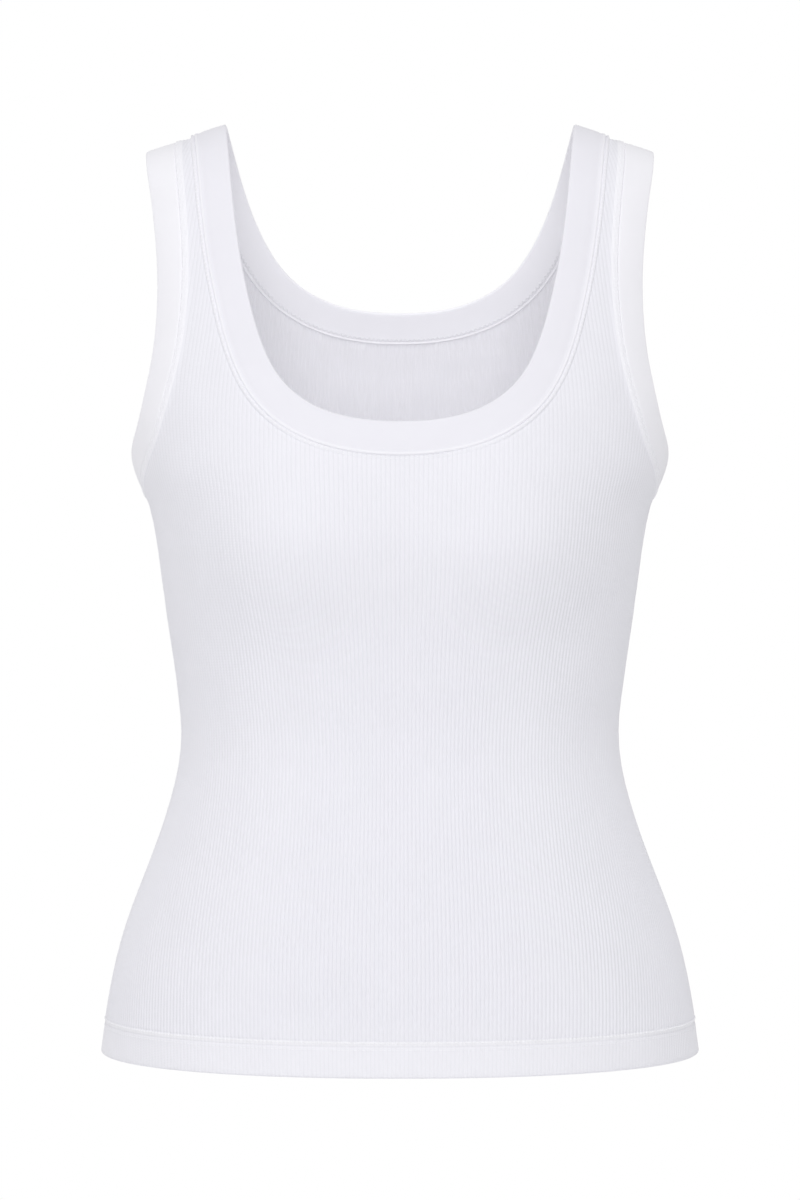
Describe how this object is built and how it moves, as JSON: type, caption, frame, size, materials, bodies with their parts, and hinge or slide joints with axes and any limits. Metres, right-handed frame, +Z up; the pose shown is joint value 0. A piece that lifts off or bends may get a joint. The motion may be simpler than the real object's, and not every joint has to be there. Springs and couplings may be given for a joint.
{
  "type": "tank top",
  "caption": "Hollow ribbed sleeveless top, filled out as worn, with a scoop neck, smooth folded bands at the neck and armholes, a fitted waist and a flared hem.",
  "frame": {"origin": "midway between the two straps at the shoulders' ridges, level with the straps' outer faces at their middle", "axes": "+X towards the wearer's left, which is the viewer's right; the front faces -Y; +Z up"},
  "size_m": [0.3596, 0.2322, 0.5573],
  "materials": {
    "front": "matte white rib knit",
    "back": "matte white rib knit",
    "neck_band": "smooth white knit",
    "armhole_band_right": "smooth white knit",
    "armhole_band_left": "smooth white knit"
  },
  "bodies": {
    "root": {"front": "front", "back": "back", "neck_band": "neck_band", "armhole_band_right": "armhole_band_right", "armhole_band_left": "armhole_band_left"}
  },
  "joints": []
}
